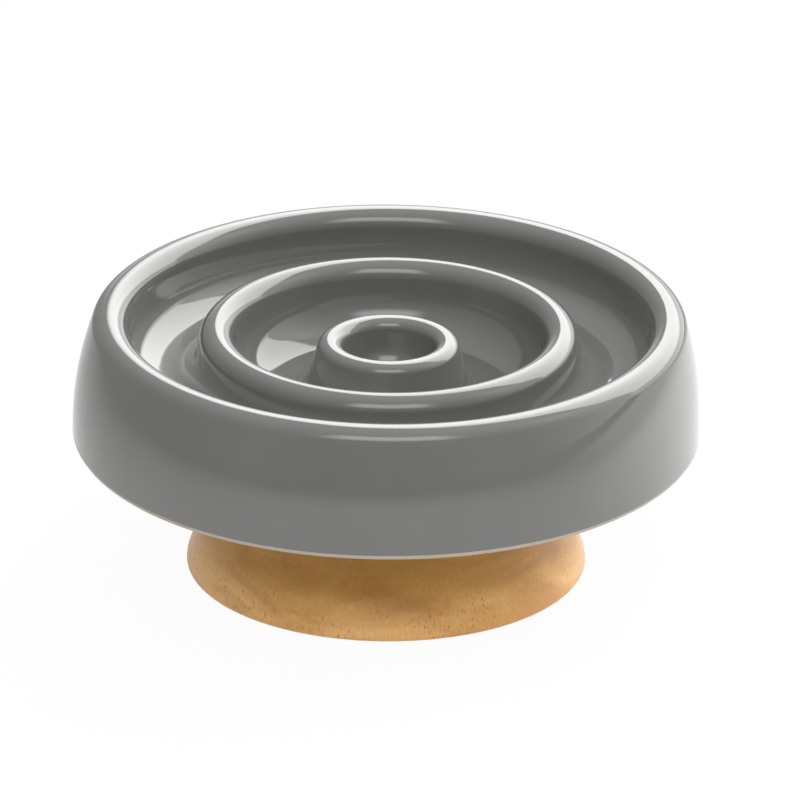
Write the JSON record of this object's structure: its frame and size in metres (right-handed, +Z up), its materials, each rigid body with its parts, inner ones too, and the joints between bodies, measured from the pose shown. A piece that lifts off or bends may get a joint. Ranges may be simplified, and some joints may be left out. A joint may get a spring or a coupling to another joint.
{
  "type": "slow feeder bowl",
  "caption": "Round slow feeder bowl: a glazed ceramic dish with ring troughs and a centre cup, resting on a turned wooden stand that it lifts off.",
  "frame": {"origin": "on the table under the middle of the bowl, where the axis of the dish and stand meets it", "axes": "+Z up along the common axis of dish and stand; the object is round, so +X and +Y are alike"},
  "size_m": [0.1904, 0.1904, 0.0827],
  "materials": {
    "glaze": "smooth grey gloss glaze",
    "beech": "turned beech, satin oil",
    "silicone": "soft matt silicone"
  },
  "bodies": {
    "stand": {"stand": "beech", "foot_pad_1": "silicone", "foot_pad_2": "silicone", "foot_pad_3": "silicone", "foot_pad_4": "silicone"},
    "seat": {"seat_ring": "silicone"},
    "dish": {"feeder_dish": "glaze"}
  },
  "joints": [
    {"name": "dish_turn", "type": "hinge", "parent": "stand", "child": "seat", "pos_m": [0, 0, 0.05], "axis": [0, 0, 1], "continuous": true},
    {"name": "dish_lift", "type": "slide", "parent": "seat", "child": "dish", "axis": [0, 0, 1], "range_m": [0, 0.1]}
  ]
}
